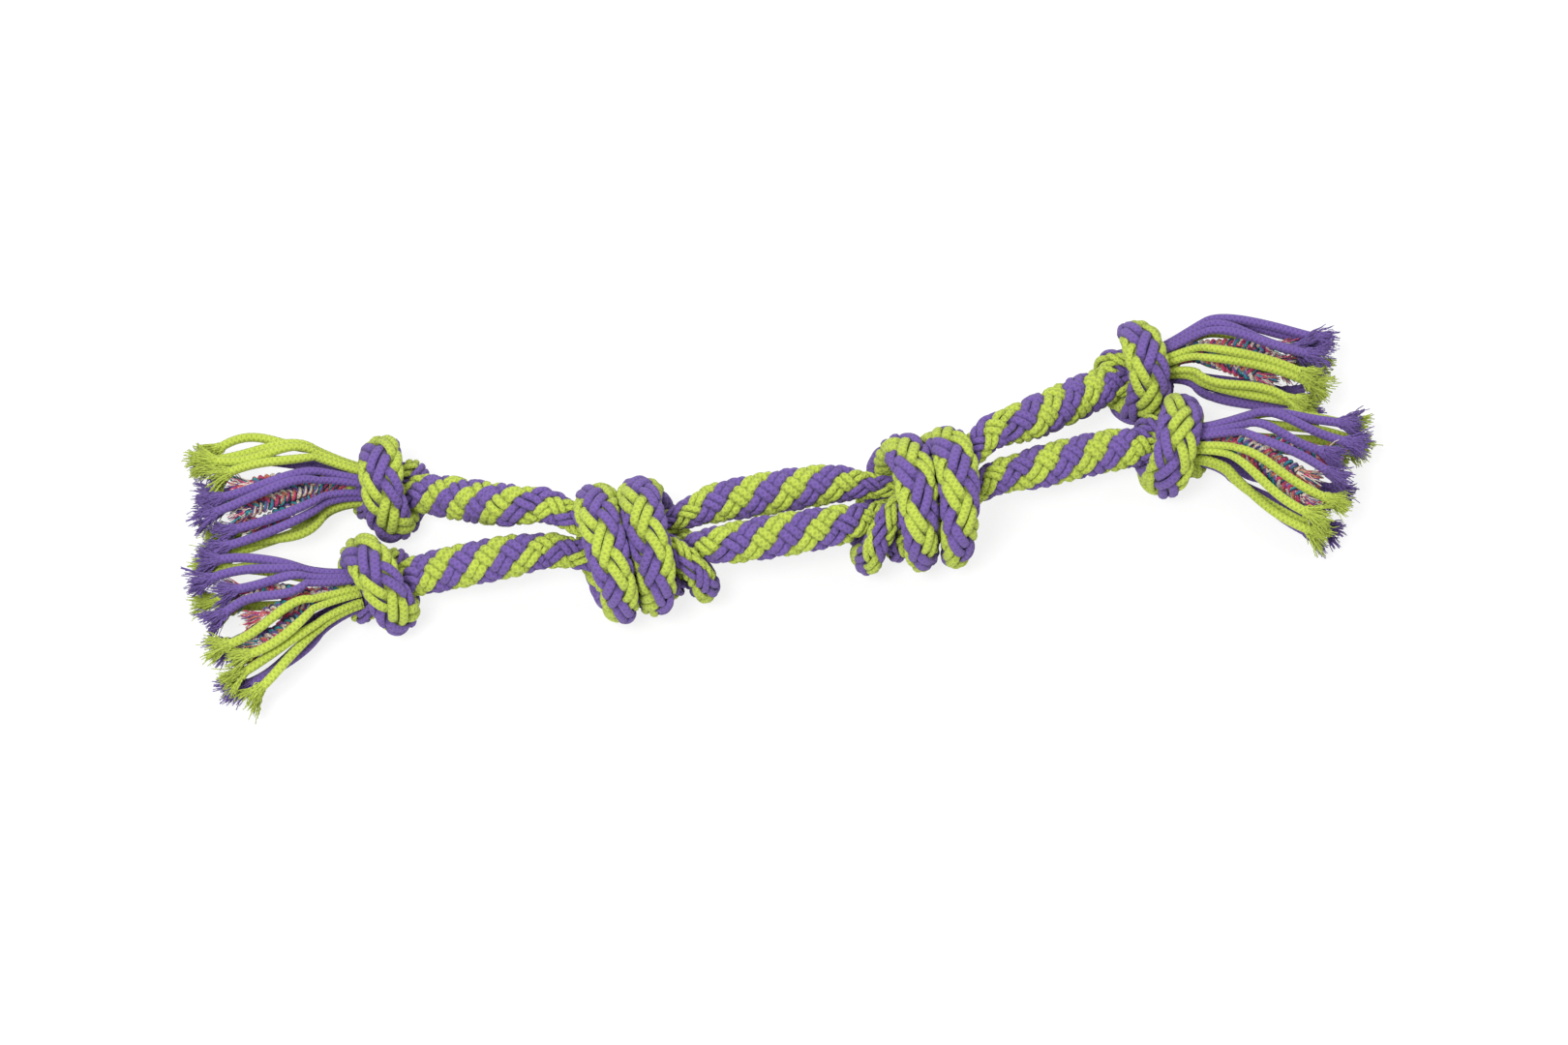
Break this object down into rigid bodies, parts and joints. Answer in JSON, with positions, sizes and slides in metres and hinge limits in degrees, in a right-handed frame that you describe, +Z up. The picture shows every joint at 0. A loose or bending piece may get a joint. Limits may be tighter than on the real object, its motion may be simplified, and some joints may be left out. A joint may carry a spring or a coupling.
{
  "type": "rope dog toy",
  "caption": "Tug and chew toy of two braided cotton ropes tied together by big overhand knots, with a knot and a loose cord tassel at each rope end.",
  "frame": {"origin": "on the floor at the middle of the toy's footprint", "axes": "+X along the toy, left end to right end as pictured, +Y away from the camera, +Z up from the floor it lies on"},
  "size_m": [0.4958, 0.1298, 0.0551],
  "materials": {
    "braid": "round-braided cotton cord, purple and lime, matt",
    "purple_cord": "purple braided cotton cord, matt",
    "lime_cord": "lime green braided cotton cord, matt",
    "mixed_cord": "plaited many-coloured cotton yarn, matt"
  },
  "bodies": {
    "left_centre": {"left_centre_knot_back_rope": "braid", "left_centre_knot_front_rope": "braid", "middle_back_rope_cover": "braid", "middle_back_rope_core": "mixed_cord", "middle_front_rope_cover": "braid", "middle_front_rope_core": "mixed_cord"},
    "right_centre": {"right_centre_knot_back_rope": "braid", "right_centre_knot_front_rope": "braid"},
    "left_back_arm": {"left_back_arm_cover": "braid", "left_back_arm_core": "mixed_cord", "left_back_end_knot": "braid"},
    "left_back_tassel": {"left_back_lime_strand_1": "lime_cord", "left_back_lime_strand_2": "lime_cord", "left_back_purple_strand_1": "purple_cord", "left_back_purple_strand_2": "purple_cord", "left_back_lime_strand_3": "lime_cord", "left_back_lime_strand_4": "lime_cord", "left_back_purple_strand_3": "purple_cord", "left_back_purple_strand_4": "purple_cord", "left_back_core_cords": "mixed_cord"},
    "left_front_arm": {"left_front_arm_cover": "braid", "left_front_arm_core": "mixed_cord", "left_front_end_knot": "braid"},
    "left_front_tassel": {"left_front_purple_strand_1": "purple_cord", "left_front_purple_strand_2": "purple_cord", "left_front_lime_strand_1": "lime_cord", "left_front_lime_strand_2": "lime_cord", "left_front_purple_strand_3": "purple_cord", "left_front_purple_strand_4": "purple_cord", "left_front_lime_strand_3": "lime_cord", "left_front_lime_strand_4": "lime_cord", "left_front_core_cords": "mixed_cord"},
    "right_back_arm": {"right_back_arm_cover": "braid", "right_back_arm_core": "mixed_cord", "right_back_end_knot": "braid"},
    "right_back_tassel": {"right_back_purple_strand_1": "purple_cord", "right_back_purple_strand_2": "purple_cord", "right_back_lime_strand_1": "lime_cord", "right_back_lime_strand_2": "lime_cord", "right_back_purple_strand_3": "purple_cord", "right_back_purple_strand_4": "purple_cord", "right_back_lime_strand_3": "lime_cord", "right_back_lime_strand_4": "lime_cord", "right_back_core_cords": "mixed_cord"},
    "right_front_arm": {"right_front_arm_cover": "braid", "right_front_arm_core": "mixed_cord", "right_front_end_knot": "braid"},
    "right_front_tassel": {"right_front_purple_strand_1": "purple_cord", "right_front_purple_strand_2": "purple_cord", "right_front_lime_strand_1": "lime_cord", "right_front_lime_strand_2": "lime_cord", "right_front_purple_strand_3": "purple_cord", "right_front_purple_strand_4": "purple_cord", "right_front_lime_strand_3": "lime_cord", "right_front_lime_strand_4": "lime_cord", "right_front_core_cords": "mixed_cord"}
  },
  "joints": [
    {"name": "middle_fold", "type": "hinge", "parent": "left_centre", "child": "right_centre", "pos_m": [0.00709, -0.01952, 0.03179], "axis": [0, -1, 0], "range_deg": [-80, 80]},
    {"name": "left_back_arm_swing", "type": "hinge", "parent": "left_centre", "child": "left_back_arm", "pos_m": [-0.11091, -0.00052, 0.03879], "axis": [0, 0, -1], "range_deg": [0, 50]},
    {"name": "left_back_tassel_lift", "type": "hinge", "parent": "left_back_arm", "child": "left_back_tassel", "pos_m": [-0.18205, 0.03848, 0.01923], "axis": [0, 1, 0], "range_deg": [-40, 50]},
    {"name": "left_front_arm_swing", "type": "hinge", "parent": "left_centre", "child": "left_front_arm", "pos_m": [-0.11091, -0.01572, 0.02649], "axis": [0, 0, 1], "range_deg": [0, 60]},
    {"name": "left_front_tassel_lift", "type": "hinge", "parent": "left_front_arm", "child": "left_front_tassel", "pos_m": [-0.1934, -0.01643, 0.01923], "axis": [-0.1219, 0.9925, 0], "range_deg": [-40, 50]},
    {"name": "right_back_arm_swing", "type": "hinge", "parent": "right_centre", "child": "right_back_arm", "pos_m": [0.10571, -0.00052, 0.03879], "axis": [0, 0, 1], "range_deg": [0, 50]},
    {"name": "right_back_tassel_lift", "type": "hinge", "parent": "right_back_arm", "child": "right_back_tassel", "pos_m": [0.18547, 0.03286, 0.01923], "axis": [-0.3746, -0.9272, 0], "range_deg": [-40, 50]},
    {"name": "right_front_arm_swing", "type": "hinge", "parent": "right_centre", "child": "right_front_arm", "pos_m": [0.10571, -0.01572, 0.02649], "axis": [0, 0, -1], "range_deg": [0, 60]},
    {"name": "right_front_tassel_lift", "type": "hinge", "parent": "right_front_arm", "child": "right_front_tassel", "pos_m": [0.1918, -0.01388, 0.01923], "axis": [-0.5446, -0.8387, 0], "range_deg": [-40, 50]}
  ]
}
